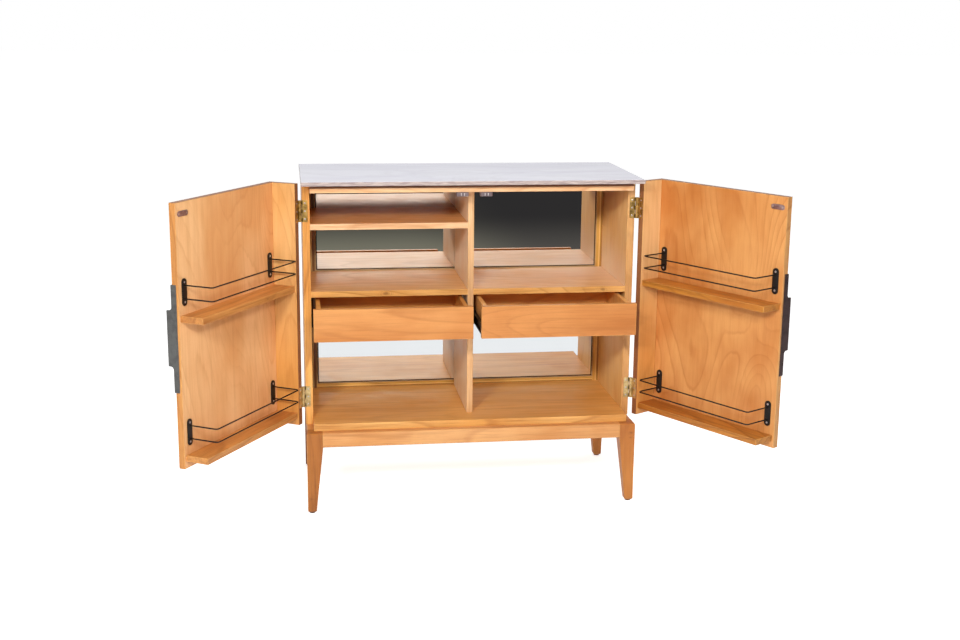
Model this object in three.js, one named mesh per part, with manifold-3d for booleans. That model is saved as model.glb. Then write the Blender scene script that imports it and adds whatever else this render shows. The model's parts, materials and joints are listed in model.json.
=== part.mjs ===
// Bar cabinet: a carcass on a four-legged base, a stone top, a mirrored back, two drawers, and two
// box doors that fold out on butt hinges and carry shelves with wire rails.
// Millimetres. X runs to the right, Y to the back and Z up, as seen from the front.
// Pieces are laid out with the doors closed, their fronts at y = 0 and the floor at z = 0.
// The doors are then turned open about their hinge pins and the drawers drawn out.
// Pieces of the left half are drawn, and those of the right half are their mirror images.

import * as THREE from 'three';
import { mergeVertices } from 'three/addons/utils/BufferGeometryUtils.js';
import Module from 'manifold-3d';

const wasm = await Module();
wasm.setup();

// Whole cabinet
const cabinetWidth = 1000;
const cabinetDepth = 464;
const cabinetHeight = 1000;
const edgeEase = 0.8;
const seam = 0.3;
const overrun = 5;

// Stone top
const stoneThickness = 12;
const stoneOverhang = 4;
const stoneEase = 1.2;
const stoneShadowGap = 6;

// Base
const baseHeight = 250;
const legWidth = 48;
const legFootWidth = 26;
const legFootChamfer = 5;
const apronHeight = 44;
const apronThickness = 28;
const apronSetback = 1.5;
const baseTopChamfer = 2.5;
const glideRadius = 9;
const glideHeight = 3;

// Carcass boards
const sideThickness = 22;
const topBoardThickness = 18;
const topBoardSetback = 30;
const bottomBoardThickness = 22;
const bottomBoardSetback = 26;
const dividerThickness = 18;
const shelfThickness = 18;
const midShelfRise = 371;
const upperBayHeight = 100;

// Mirrored back
const backPanelThickness = 12;
const backRecess = 24;
const mirrorThickness = 4;
const mirrorClearance = 0.5;
const mirrorEdgeGap = 4;
const mirrorStileWidth = 19;
const mirrorRailHeight = 14;

// Doors
const doorDepth = 96;
const doorThickness = 19;
const doorMeetingGap = 3;
const doorBottomGap = 5.5;
const doorTopGap = 2;
const doorOpenAngle = 121;
const doorShelfDepth = 71;
const doorShelfThickness = 18;
const doorShelfLift = 4;
const doorShelfEndSetback = 6.5;

// Hinges
const hingeGap = 2;
const hingePinOffset = 6.5;
const hingeHeight = 64;
const hingeEndInset = 83;
const hingeLeafReach = 22;
const hingeLeafThickness = 1.5;
const knuckleRadius = 4.75;
const knuckleCount = 5;
const hingePinRadius = 2;
const roundSegments = 16;

// Wire rails of the door shelves
const railPlateWidth = 21;
const railPlateHeight = 75;
const railPlateThickness = 3;
const railPlateLift = 24;
const railHingeEndInset = 23;
const railFreeEndInset = 20;
const railStandOff = 91;
const railWireRadius = 2;
const railWireInset = 19;
const railBendRadius = 8;
const railBendSteps = 6;
const railWireSegments = 5;

// Door pulls
const pullThickness = 3;
const pullWoodWidth = 13;
const pullProud = 4.5;
const pullTabProud = 20.5;
const pullBottomRise = 214;
const pullHeight = 297.5;
const pullTabRise = 72.5;
const pullTabHeight = 155;
const pullFillet = 9;
const pullCornerRadius = 2;
const pullCurveSegments = 4;

// Magnetic catches
const catchCentre = 35;
const catchWidth = 36;
const catchHeight = 12;
const catchDepth = 28;
const catchProud = 8;
const catchCornerRadius = 5;
const catchCurveSegments = 4;

// Drawers
const drawerFrontHeight = 96;
const drawerFrontThickness = 18;
const drawerFrontGap = 3;
const drawerTopGap = 2;
const drawerBackGap = 17.5;
const drawerBoxDrop = 7;
const drawerBoxRise = 5;
const drawerWall = 12;
const drawerBottomThickness = 6;
const drawerBottomRise = 6;
const drawerOut = 161;

// Drawer runners
const runnerSpace = 13;
const runnerBackGap = 14;
const runnerHeight = 42;
const runnerDrop = 2;
const runnerWidth = 9.5;
const runnerWall = 1.4;
const runnerLip = 6;
const runnerSetback = 1;
const slideReach = 3;

// Levels and planes that several pieces share
const halfWidth = cabinetWidth / 2;
const bayOuter = halfWidth - sideThickness;
const bayInner = dividerThickness / 2;
const bayFront = doorDepth + hingeGap;
const stoneBottom = cabinetHeight - stoneThickness;
const topBoardTop = stoneBottom - stoneShadowGap;
const topBoardBottom = topBoardTop - topBoardThickness;
const bottomBoardTop = baseHeight + bottomBoardThickness;
const midShelfBottom = bottomBoardTop + midShelfRise;
const midShelfTop = midShelfBottom + shelfThickness;
const upperShelfTop = topBoardBottom - upperBayHeight;
const upperShelfBottom = upperShelfTop - shelfThickness;
const backPanelBack = cabinetDepth - backRecess;
const mirrorBack = backPanelBack - backPanelThickness;
const mirrorFront = mirrorBack - mirrorThickness;
const shelfBack = mirrorFront - mirrorClearance;
const doorBottom = baseHeight + doorBottomGap;
const doorTop = stoneBottom - doorTopGap;
const doorFreeEdge = -doorMeetingGap / 2;
const doorShelfBack = doorThickness + doorShelfDepth;
const doorShelfEnd = doorFreeEdge - doorShelfEndSetback;
const pinX = -(halfWidth + hingePinOffset);
const pinY = doorDepth + hingeGap / 2;
const hingeLevels = { lower: doorBottom + hingeEndInset, upper: doorTop - hingeEndInset };
const doorShelfLevels = { lower: bottomBoardTop + doorShelfLift, upper: midShelfTop + doorShelfLift };
const drawerFrontTop = midShelfBottom - drawerTopGap;
const drawerFrontBottom = drawerFrontTop - drawerFrontHeight;
const drawerFrontBack = bayFront + drawerFrontThickness;
const drawerBoxBack = shelfBack - drawerBackGap;
const drawerBoxTop = drawerFrontTop - drawerBoxDrop;
const drawerBoxBottom = drawerFrontBottom + drawerBoxRise;
const drawerBoxOuter = bayOuter - runnerSpace;
const drawerBoxInner = bayInner + runnerSpace;
const runnerFront = drawerFrontBack + runnerSetback;
const runnerBack = drawerBoxBack - runnerBackGap;
const runnerBottom = drawerBoxBottom - runnerDrop;

const finishes = {
  veneer: { color: 0xe0a468, roughness: 0.5, metalness: 0 },
  edgeWood: { color: 0xf0c68c, roughness: 0.5, metalness: 0 },
  solidWood: { color: 0xdb9f5c, roughness: 0.45, metalness: 0 },
  drawerWood: { color: 0xb9793f, roughness: 0.6, metalness: 0 },
  backWood: { color: 0x9a7550, roughness: 0.7, metalness: 0 },
  stone: { color: 0xd9d3d1, roughness: 0.3, metalness: 0 },
  mirror: { color: 0xe6ebea, roughness: 0.03, metalness: 1 },
  brass: { color: 0x9c7c44, roughness: 0.35, metalness: 1 },
  blackSteel: { color: 0x1c1714, roughness: 0.45, metalness: 0.6 },
  darkBronze: { color: 0x55504e, roughness: 0.45, metalness: 0.7 },
  greyPlastic: { color: 0xb9b4aa, roughness: 0.5, metalness: 0 },
};

// Solids and geometries

function toSolid(geometry) {
  const bare = geometry.clone();
  bare.deleteAttribute('normal');
  bare.deleteAttribute('uv');
  const merged = mergeVertices(bare);
  const vertProperties = new Float32Array(merged.getAttribute('position').array);
  const triVerts = new Uint32Array(merged.getIndex().array);
  return new wasm.Manifold(new wasm.Mesh({ numProp: 3, vertProperties, triVerts }));
}

function toGeometry(solid) {
  const mesh = solid.getMesh();
  const geometry = new THREE.BufferGeometry();
  const corners = new Float32Array(mesh.vertProperties);
  geometry.setAttribute('position', new THREE.BufferAttribute(corners, 3));
  geometry.setIndex(new THREE.BufferAttribute(new Uint32Array(mesh.triVerts), 1));
  geometry.computeVertexNormals();
  return geometry;
}

function cut(body, tools) {
  const solid = tools.reduce((rest, tool) => rest.subtract(toSolid(tool)), toSolid(body));
  return toGeometry(solid);
}

function join(bodies) {
  return toGeometry(bodies.map(toSolid).reduce((whole, body) => whole.add(body)));
}

function overlapOf(first, second) {
  return toGeometry(toSolid(first).intersect(toSolid(second)));
}

// The mirror image across the cabinet's middle, with every face turned outward again
function mirrored(geometry) {
  const image = geometry.index ? geometry.toNonIndexed() : geometry.clone();
  image.scale(-1, 1, 1);
  const corners = image.getAttribute('position');
  const first = new THREE.Vector3();
  const last = new THREE.Vector3();
  for (let i = 0; i < corners.count; i += 3) {
    first.fromBufferAttribute(corners, i);
    last.fromBufferAttribute(corners, i + 2);
    corners.setXYZ(i, last.x, last.y, last.z);
    corners.setXYZ(i + 2, first.x, first.y, first.z);
  }
  image.computeVertexNormals();
  return image;
}

// A plain block between two planes along each axis
function block([x0, x1], [y0, y1], [z0, z1]) {
  const geometry = new THREE.BoxGeometry(x1 - x0, y1 - y0, z1 - z0);
  return geometry.translate((x0 + x1) / 2, (y0 + y1) / 2, (z0 + z1) / 2);
}

// A board between two planes along each axis, with all twelve edges eased
function board([x0, x1], [y0, y1], [z0, z1], ease = edgeEase) {
  const outline = new THREE.Shape([
    new THREE.Vector2(x0 + ease, y0),
    new THREE.Vector2(x1 - ease, y0),
    new THREE.Vector2(x1, y0 + ease),
    new THREE.Vector2(x1, y1 - ease),
    new THREE.Vector2(x1 - ease, y1),
    new THREE.Vector2(x0 + ease, y1),
    new THREE.Vector2(x0, y1 - ease),
    new THREE.Vector2(x0, y0 + ease),
  ]);
  const geometry = new THREE.ExtrudeGeometry(outline, {
    depth: z1 - z0 - 2 * ease,
    bevelThickness: ease,
    bevelSize: ease,
    bevelOffset: -ease,
    bevelSegments: 1,
  });
  return geometry.translate(0, 0, z0 + ease);
}

function extrude(outline, depth, curveSegments = 1) {
  return new THREE.ExtrudeGeometry(outline, { depth, curveSegments, bevelEnabled: false });
}

// An outline drawn in X and Z, thickened from one plane to another along Y
function plateAcrossY(outline, y0, y1, curveSegments) {
  return extrude(outline, y1 - y0, curveSegments).rotateX(Math.PI / 2).translate(0, y1, 0);
}

// An outline drawn in Y and Z, thickened from one plane to another along X
function plateAcrossX(outline, x0, x1, curveSegments) {
  const turn = new THREE.Matrix4().makeBasis(
    new THREE.Vector3(0, 1, 0),
    new THREE.Vector3(0, 0, 1),
    new THREE.Vector3(1, 0, 0),
  );
  return extrude(outline, x1 - x0, curveSegments).applyMatrix4(turn).translate(x0, 0, 0);
}

function uprightCylinder(radius, x, y, z0, z1) {
  const geometry = new THREE.CylinderGeometry(radius, radius, z1 - z0, roundSegments);
  return geometry.rotateX(Math.PI / 2).translate(x, y, (z0 + z1) / 2);
}

function roundedRectangle(x0, x1, y0, y1, radius) {
  const outline = new THREE.Shape();
  outline.moveTo(x0 + radius, y0);
  outline.lineTo(x1 - radius, y0);
  outline.absarc(x1 - radius, y0 + radius, radius, -Math.PI / 2, 0);
  outline.lineTo(x1, y1 - radius);
  outline.absarc(x1 - radius, y1 - radius, radius, 0, Math.PI / 2);
  outline.lineTo(x0 + radius, y1);
  outline.absarc(x0 + radius, y1 - radius, radius, Math.PI / 2, Math.PI);
  outline.lineTo(x0, y0 + radius);
  outline.absarc(x0 + radius, y0 + radius, radius, Math.PI, 1.5 * Math.PI);
  return outline;
}

// The centre line of a bent wire: straight runs, and a bend of equal steps at each inner corner
class BentWire extends THREE.Curve {
  constructor(corners, bendRadius, bendSteps) {
    super();
    this.stations = [corners[0]];
    for (let i = 1; i < corners.length - 1; i += 1) {
      const corner = corners[i];
      const back = corners[i - 1].clone().sub(corner).normalize();
      const ahead = corners[i + 1].clone().sub(corner).normalize();
      const centre = corner.clone().addScaledVector(back, bendRadius).addScaledVector(ahead, bendRadius);
      for (let step = 0; step <= bendSteps; step += 1) {
        const angle = (step / bendSteps) * (Math.PI / 2);
        const station = centre.clone();
        station.addScaledVector(ahead, -bendRadius * Math.cos(angle));
        station.addScaledVector(back, -bendRadius * Math.sin(angle));
        this.stations.push(station);
      }
    }
    this.stations.push(corners[corners.length - 1]);
  }

  get runs() {
    return this.stations.length - 1;
  }

  getPoint(t, target = new THREE.Vector3()) {
    const run = Math.min(Math.floor(t * this.runs), this.runs - 1);
    return target.lerpVectors(this.stations[run], this.stations[run + 1], t * this.runs - run);
  }

  getPointAt(u, target) {
    return this.getPoint(u, target);
  }

  getTangentAt(u, target) {
    return this.getTangent(u, target);
  }
}

// Base

function legProfile() {
  const foot = glideHeight;
  const outline = new THREE.Shape();
  outline.moveTo(legFootChamfer, foot);
  outline.lineTo(legFootWidth - legFootChamfer, foot);
  outline.lineTo(legFootWidth, foot + legFootChamfer);
  outline.lineTo(legWidth, baseHeight - apronHeight);
  outline.lineTo(legWidth, baseHeight);
  outline.lineTo(baseTopChamfer, baseHeight);
  outline.lineTo(0, baseHeight - baseTopChamfer);
  outline.lineTo(0, foot + legFootChamfer);
  return outline;
}

// A leg with its outer faces upright and its inner faces tapered, and a glide under its foot
function leg(isBack) {
  const profile = legProfile();
  const taperedInX = plateAcrossY(profile, 0, legWidth);
  const taperedInY = plateAcrossX(profile, 0, legWidth);
  const footCentre = legFootWidth / 2;
  const glide = uprightCylinder(glideRadius, footCentre, footCentre, 0, glideHeight + legFootChamfer);
  const front = join([overlapOf(taperedInX, taperedInY), glide]);
  front.translate(-halfWidth, 0, 0);
  if (!isBack) {
    return front;
  }
  // Turning the right-hand image half round gives the leg at the back left
  return mirrored(front).rotateZ(Math.PI).translate(0, cabinetDepth, 0);
}

function frontApron(y0) {
  const reach = halfWidth - legWidth;
  return board([-reach, reach], [y0, y0 + apronThickness], [baseHeight - apronHeight, baseHeight], baseTopChamfer);
}

function sideApron() {
  const outer = -halfWidth + apronSetback;
  const span = [legWidth, cabinetDepth - legWidth];
  return board([outer, outer + apronThickness], span, [baseHeight - apronHeight, baseHeight], baseTopChamfer);
}

// Carcass

function hingeMortises(y0, y1) {
  const innerEdge = pinX + hingeLeafReach + seam;
  const halfHeight = hingeHeight / 2 + seam;
  return Object.values(hingeLevels).map((level) => {
    const span = [level - halfHeight, level + halfHeight];
    return block([-halfWidth - overrun, innerEdge], [y0, y1], span);
  });
}

function sidePanel() {
  const panel = board([-halfWidth, -bayOuter], [bayFront, cabinetDepth], [baseHeight, stoneBottom]);
  return cut(panel, hingeMortises(bayFront - overrun, bayFront + hingeLeafThickness + seam));
}

function innerShelf(z0) {
  return board([-bayOuter, -bayInner], [bayFront, shelfBack], [z0, z0 + shelfThickness]);
}

function mirrorPane(z0, z1) {
  const reach = bayOuter - mirrorStileWidth - mirrorEdgeGap;
  return block([-reach, reach], [mirrorFront, mirrorBack], [z0, z1]);
}

function mirrorStile() {
  const span = [-bayOuter, -bayOuter + mirrorStileWidth];
  return board(span, [mirrorFront, mirrorBack], [bottomBoardTop, topBoardBottom]);
}

function mirrorRail(z0) {
  const reach = bayOuter - mirrorStileWidth;
  return board([-reach, reach], [mirrorFront, mirrorBack], [z0, z0 + mirrorRailHeight]);
}

function magneticCatch() {
  const x0 = -catchCentre - catchWidth / 2;
  const y0 = topBoardSetback - catchProud;
  const outline = roundedRectangle(x0, x0 + catchWidth, y0, y0 + catchDepth, catchCornerRadius);
  return extrude(outline, catchHeight, catchCurveSegments).translate(0, 0, topBoardBottom - catchHeight);
}

// Hinges, about a pin at the origin

// One leaf with its share of the knuckles; side is 1 behind the pin's plane and -1 before it
function hingeLeaf(side, firstKnuckle) {
  const bottom = -hingeHeight / 2;
  const pitch = hingeHeight / knuckleCount;
  const near = side * (hingeGap / 2);
  const far = near + side * hingeLeafThickness;
  const thickness = [Math.min(near, far), Math.max(near, far)];
  const plateStart = knuckleRadius + seam;
  const bodies = [block([plateStart, hingeLeafReach], thickness, [bottom, -bottom])];
  for (let i = firstKnuckle; i < knuckleCount; i += 2) {
    const z0 = bottom + i * pitch + seam / 2;
    const z1 = z0 + pitch - seam;
    bodies.push(uprightCylinder(knuckleRadius, 0, 0, z0, z1));
    bodies.push(block([0, plateStart + hingeLeafThickness], thickness, [z0, z1]));
  }
  return join(bodies);
}

function carcassHingeLeaf(level) {
  const pin = uprightCylinder(hingePinRadius, 0, 0, -hingeHeight / 2, hingeHeight / 2);
  return join([hingeLeaf(1, 0), pin]).translate(pinX, pinY, level);
}

function doorHingeLeaf(level) {
  const reach = hingeHeight / 2 + overrun;
  const bore = uprightCylinder(hingePinRadius + seam, 0, 0, -reach, reach);
  return cut(hingeLeaf(-1, 1), [bore]).translate(pinX, pinY, level);
}

// Door pieces, with the door closed

function pullOutline() {
  const inner = pullWoodWidth;
  const z0 = doorBottom + pullBottomRise;
  const z1 = z0 + pullHeight;
  const tab0 = z0 + pullTabRise;
  const tab1 = tab0 + pullTabHeight;
  const round = pullCornerRadius;
  const outline = new THREE.Shape();
  outline.moveTo(inner, z0);
  outline.lineTo(inner, z1);
  outline.lineTo(-pullProud + round, z1);
  outline.absarc(-pullProud + round, z1 - round, round, Math.PI / 2, Math.PI);
  outline.lineTo(-pullProud, tab1 + pullFillet);
  outline.absarc(-pullProud - pullFillet, tab1 + pullFillet, pullFillet, 0, -Math.PI / 2, true);
  outline.lineTo(-pullTabProud + round, tab1);
  outline.absarc(-pullTabProud + round, tab1 - round, round, Math.PI / 2, Math.PI);
  outline.lineTo(-pullTabProud, tab0 + round);
  outline.absarc(-pullTabProud + round, tab0 + round, round, Math.PI, 1.5 * Math.PI);
  outline.lineTo(-pullProud - pullFillet, tab0);
  outline.absarc(-pullProud - pullFillet, tab0 - pullFillet, pullFillet, Math.PI / 2, 0, true);
  outline.lineTo(-pullProud, z0 + round);
  outline.absarc(-pullProud + round, z0 + round, round, Math.PI, 1.5 * Math.PI);
  return outline;
}

function pull() {
  return plateAcrossX(pullOutline(), doorFreeEdge - pullThickness, doorFreeEdge, pullCurveSegments);
}

function doorFrontPanel() {
  const panel = board([-halfWidth, doorFreeEdge], [0, doorThickness], [doorBottom, doorTop]);
  const z0 = doorBottom + pullBottomRise;
  const mortise = block(
    [doorFreeEdge - pullThickness - seam, doorFreeEdge + overrun],
    [-overrun, pullWoodWidth + seam],
    [z0 - seam, z0 + pullHeight + seam],
  );
  return cut(panel, [mortise]);
}

function doorReturnPanel() {
  const span = [doorThickness + seam, doorDepth];
  const panel = board([-halfWidth, -halfWidth + doorThickness], span, [doorBottom, doorTop]);
  return cut(panel, hingeMortises(doorDepth - hingeLeafThickness - seam, doorDepth + overrun));
}

function doorShelf(z0) {
  const span = [-halfWidth + doorThickness + seam, doorShelfEnd];
  return board(span, [doorThickness + seam, doorShelfBack], [z0, z0 + doorShelfThickness]);
}

function railPlate(x, z0) {
  const radius = railPlateWidth / 2;
  const outline = roundedRectangle(x - radius, x + radius, z0, z0 + railPlateHeight, radius);
  const y0 = doorThickness + seam;
  return plateAcrossY(outline, y0, y0 + railPlateThickness, pullCurveSegments);
}

function railWire(x0, x1, z) {
  const y0 = doorThickness + seam + railPlateThickness / 2;
  const y1 = doorThickness + railStandOff;
  const corners = [[x0, y0], [x0, y1], [x1, y1], [x1, y0]].map(([x, y]) => new THREE.Vector3(x, y, z));
  const path = new BentWire(corners, railBendRadius, railBendSteps);
  const section = new THREE.Shape().absarc(0, 0, railWireRadius, 0, 2 * Math.PI);
  return new THREE.ExtrudeGeometry(section, {
    extrudePath: path,
    steps: path.runs,
    curveSegments: railWireSegments,
    bevelEnabled: false,
  });
}

// Two plates screwed to the door and two wires bent round from one to the other
function wireRail(shelfBottom) {
  const x0 = -halfWidth + doorThickness + railHingeEndInset;
  const x1 = doorShelfEnd - railFreeEndInset;
  const z0 = shelfBottom + doorShelfThickness + railPlateLift;
  const lowWire = z0 + railWireInset;
  const highWire = z0 + railPlateHeight - railWireInset;
  return join([
    railPlate(x0, z0),
    railPlate(x1, z0),
    railWire(x0, x1, lowWire),
    railWire(x0, x1, highWire),
  ]);
}

// Drawer pieces, with the drawer closed

function drawerFront() {
  const span = [-bayOuter + drawerFrontGap, -bayInner - drawerFrontGap];
  return board(span, [bayFront, drawerFrontBack], [drawerFrontBottom, drawerFrontTop]);
}

// Two sides, a back and a bottom held in a groove above their lower edges, open to the front
function drawerBox() {
  const outer = board(
    [-drawerBoxOuter, -drawerBoxInner],
    [drawerFrontBack, drawerBoxBack],
    [drawerBoxBottom, drawerBoxTop],
  );
  const across = [-drawerBoxOuter + drawerWall, -drawerBoxInner - drawerWall];
  const along = [drawerFrontBack - overrun, drawerBoxBack - drawerWall];
  const bottom = drawerBoxBottom + drawerBottomRise;
  return cut(outer, [
    block(across, along, [bottom + drawerBottomThickness, drawerBoxTop + overrun]),
    block(across, along, [drawerBoxBottom - overrun, bottom]),
  ]);
}

// The channel on the carcass, against the plane x = 0 and open towards +X
function runnerSection() {
  const z1 = runnerHeight;
  const outline = new THREE.Shape();
  outline.moveTo(0, 0);
  outline.lineTo(runnerWidth, 0);
  outline.lineTo(runnerWidth, runnerLip);
  outline.lineTo(runnerWidth - runnerWall, runnerLip);
  outline.lineTo(runnerWidth - runnerWall, runnerWall);
  outline.lineTo(runnerWall, runnerWall);
  outline.lineTo(runnerWall, z1 - runnerWall);
  outline.lineTo(runnerWidth - runnerWall, z1 - runnerWall);
  outline.lineTo(runnerWidth - runnerWall, z1 - runnerLip);
  outline.lineTo(runnerWidth, z1 - runnerLip);
  outline.lineTo(runnerWidth, z1);
  outline.lineTo(0, z1);
  return outline;
}

// The channel on the drawer, whose flanges run between the lips of the carcass channel
function slideSection() {
  const z0 = runnerLip + seam;
  const z1 = runnerHeight - runnerLip - seam;
  const outline = new THREE.Shape();
  outline.moveTo(slideReach, z0);
  outline.lineTo(runnerSpace, z0);
  outline.lineTo(runnerSpace, z1);
  outline.lineTo(slideReach, z1);
  outline.lineTo(slideReach, z1 - runnerWall);
  outline.lineTo(runnerSpace - runnerWall, z1 - runnerWall);
  outline.lineTo(runnerSpace - runnerWall, z0 + runnerWall);
  outline.lineTo(slideReach, z0 + runnerWall);
  return outline;
}

// A channel of the left bay, beside its outer wall or, as a mirror image, beside the divider
function channel(section, isOuter) {
  const length = plateAcrossY(section, runnerFront, runnerBack);
  const placed = isOuter ? length.translate(-bayOuter, 0, 0) : mirrored(length).translate(-bayInner, 0, 0);
  return placed.translate(0, 0, runnerBottom);
}

// Assembly

function addPiece(parent, name, geometry, finish) {
  const mesh = new THREE.Mesh(geometry, new THREE.MeshStandardMaterial(finishes[finish]));
  mesh.name = name;
  parent.add(mesh);
}

const cabinet = new THREE.Group();
const sides = [
  { name: 'left', hand: (geometry) => geometry, turn: -1 },
  { name: 'right', hand: mirrored, turn: 1 },
];
const ends = ['lower', 'upper'];

function addCarcass() {
  const boardSpan = [-bayOuter, bayOuter];
  const stoneSpan = [-halfWidth - stoneOverhang, halfWidth + stoneOverhang];
  const stoneDepth = [-stoneOverhang, cabinetDepth];
  const stone = board(stoneSpan, stoneDepth, [stoneBottom, cabinetHeight], stoneEase);
  const topBoard = board(boardSpan, [topBoardSetback, cabinetDepth], [topBoardBottom, topBoardTop]);
  const bottomBoard = board(boardSpan, [bottomBoardSetback, cabinetDepth], [baseHeight, bottomBoardTop]);
  const divider = board([-bayInner, bayInner], [bayFront, shelfBack], [bottomBoardTop, topBoardBottom]);
  const backPanel = block(boardSpan, [mirrorBack, backPanelBack], [bottomBoardTop, topBoardBottom]);
  const lowerMirrorBottom = bottomBoardTop + mirrorRailHeight + mirrorEdgeGap;
  const upperMirrorTop = topBoardBottom - mirrorRailHeight - mirrorEdgeGap;
  addPiece(cabinet, 'stone_top', stone, 'stone');
  addPiece(cabinet, 'top_board', topBoard, 'veneer');
  addPiece(cabinet, 'bottom_board', bottomBoard, 'veneer');
  addPiece(cabinet, 'centre_divider', divider, 'veneer');
  addPiece(cabinet, 'upper_left_shelf', innerShelf(upperShelfBottom), 'veneer');
  addPiece(cabinet, 'back_panel', backPanel, 'backWood');
  addPiece(cabinet, 'lower_mirror', mirrorPane(lowerMirrorBottom, midShelfBottom - mirrorEdgeGap), 'mirror');
  addPiece(cabinet, 'upper_mirror', mirrorPane(midShelfTop + mirrorEdgeGap, upperMirrorTop), 'mirror');
  addPiece(cabinet, 'mirror_bottom_rail', mirrorRail(bottomBoardTop), 'edgeWood');
  addPiece(cabinet, 'mirror_top_rail', mirrorRail(topBoardBottom - mirrorRailHeight), 'edgeWood');
  addPiece(cabinet, 'front_apron', frontApron(apronSetback), 'solidWood');
  addPiece(cabinet, 'back_apron', frontApron(cabinetDepth - apronSetback - apronThickness), 'solidWood');
}

function addCarcassSide({ name, hand }) {
  addPiece(cabinet, `${name}_side_panel`, hand(sidePanel()), 'veneer');
  addPiece(cabinet, `${name}_mid_shelf`, hand(innerShelf(midShelfBottom)), 'veneer');
  addPiece(cabinet, `${name}_mirror_stile`, hand(mirrorStile()), 'edgeWood');
  addPiece(cabinet, `${name}_side_apron`, hand(sideApron()), 'solidWood');
  addPiece(cabinet, `${name}_front_leg`, hand(leg(false)), 'solidWood');
  addPiece(cabinet, `${name}_back_leg`, hand(leg(true)), 'solidWood');
  addPiece(cabinet, `${name}_magnetic_catch`, hand(magneticCatch()), 'greyPlastic');
  addPiece(cabinet, `${name}_bay_outer_runner`, hand(channel(runnerSection(), true)), 'blackSteel');
  addPiece(cabinet, `${name}_bay_inner_runner`, hand(channel(runnerSection(), false)), 'blackSteel');
  for (const end of ends) {
    addPiece(cabinet, `${name}_${end}_carcass_hinge_leaf`, hand(carcassHingeLeaf(hingeLevels[end])), 'brass');
  }
}

// A door's pieces are drawn closed, moved so that its pin is the group's origin, and turned open
function addDoor({ name, hand, turn }) {
  const door = new THREE.Group();
  const add = (piece, geometry, finish) => {
    addPiece(door, `${name}_door_${piece}`, hand(geometry.translate(-pinX, -pinY, 0)), finish);
  };
  add('front_panel', doorFrontPanel(), 'veneer');
  add('return_panel', doorReturnPanel(), 'veneer');
  add('pull', pull(), 'darkBronze');
  for (const end of ends) {
    add(`${end}_shelf`, doorShelf(doorShelfLevels[end]), 'veneer');
    add(`${end}_rail`, wireRail(doorShelfLevels[end]), 'blackSteel');
    add(`${end}_hinge_leaf`, doorHingeLeaf(hingeLevels[end]), 'brass');
  }
  door.position.set(-turn * pinX, pinY, 0);
  door.rotation.z = turn * THREE.MathUtils.degToRad(doorOpenAngle);
  cabinet.add(door);
}

function addDrawer({ name, hand }) {
  const drawer = new THREE.Group();
  addPiece(drawer, `${name}_drawer_front`, hand(drawerFront()), 'veneer');
  addPiece(drawer, `${name}_drawer_box`, hand(drawerBox()), 'drawerWood');
  addPiece(drawer, `${name}_drawer_outer_slide`, hand(channel(slideSection(), true)), 'blackSteel');
  addPiece(drawer, `${name}_drawer_inner_slide`, hand(channel(slideSection(), false)), 'blackSteel');
  drawer.position.y = -drawerOut;
  cabinet.add(drawer);
}

addCarcass();
for (const side of sides) {
  addCarcassSide(side);
  addDoor(side);
  addDrawer(side);
}

// The origin is on the floor, at the middle of the open cabinet's outline
const outline = new THREE.Box3().setFromObject(cabinet, true);
cabinet.position.y = -(outline.min.y + outline.max.y) / 2;

export default cabinet;
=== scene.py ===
import json
import math

import bpy
import numpy as np
from mathutils import Matrix, Vector


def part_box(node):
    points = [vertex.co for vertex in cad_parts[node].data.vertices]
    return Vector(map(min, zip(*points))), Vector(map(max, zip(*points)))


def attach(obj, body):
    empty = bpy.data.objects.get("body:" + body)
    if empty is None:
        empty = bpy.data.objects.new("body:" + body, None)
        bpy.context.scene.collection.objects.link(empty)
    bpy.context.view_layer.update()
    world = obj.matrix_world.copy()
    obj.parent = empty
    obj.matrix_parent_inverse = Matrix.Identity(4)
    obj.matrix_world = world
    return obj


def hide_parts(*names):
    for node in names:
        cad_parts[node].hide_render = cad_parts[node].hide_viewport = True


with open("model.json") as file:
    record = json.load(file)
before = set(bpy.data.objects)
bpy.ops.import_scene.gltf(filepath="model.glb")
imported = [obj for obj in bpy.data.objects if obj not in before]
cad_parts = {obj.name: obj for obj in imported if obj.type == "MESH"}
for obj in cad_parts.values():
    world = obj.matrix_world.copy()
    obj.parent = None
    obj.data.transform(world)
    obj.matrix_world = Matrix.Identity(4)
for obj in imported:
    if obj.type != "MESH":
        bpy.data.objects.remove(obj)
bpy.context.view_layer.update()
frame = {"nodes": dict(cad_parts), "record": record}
nodes = frame["nodes"]
print("stage: frame loaded,", len(nodes), "nodes")

# The cabinet is laid out with its doors shut, its fronts at y = 0 and the left half drawn.
# Metres. The frame's own y is the layout's y plus frameShift.
layout = {
    "depth": 0.464, "halfWidth": 0.5, "pinX": -0.5065, "pinY": 0.097, "doorAngle": math.radians(121),
    "doorFace": 0.019, "doorBottom": 0.2555, "doorTop": 0.986, "doorGap": 0.0015, "shelfInset": 0.0065,
    "hingeRise": 0.083, "topBoardBottom": 0.964, "topBoardFront": 0.03,
}
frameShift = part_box("stone_top")[1].y - layout["depth"]


# Turns a place of the plan about the left door's pin
def aboutPin(x, y, angle):
    cosine, sine = math.cos(angle), math.sin(angle)
    dx, dy = x - layout["pinX"], y - layout["pinY"]
    return layout["pinX"] + cosine * dx + sine * dy, layout["pinY"] - sine * dx + cosine * dy


# Layout points to the frame: a door turns about its pin by the open angle, and the right side is mirrored
def toFrame(points, onDoor=False, onRight=False):
    x, y, z = np.moveaxis(np.asarray(points, float), -1, 0)
    if onDoor:
        x, y = aboutPin(x, y, layout["doorAngle"])
    return np.stack([-x if onRight else x, y + frameShift, z], axis=-1)


# The way back
def toLayout(points, onDoor=False, onRight=False):
    x, y, z = np.moveaxis(np.asarray(points, float), -1, 0)
    x, y = (-x if onRight else x), y - frameShift
    if onDoor:
        x, y = aboutPin(x, y, -layout["doorAngle"])
    return np.stack([x, y, z], axis=-1)


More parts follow.
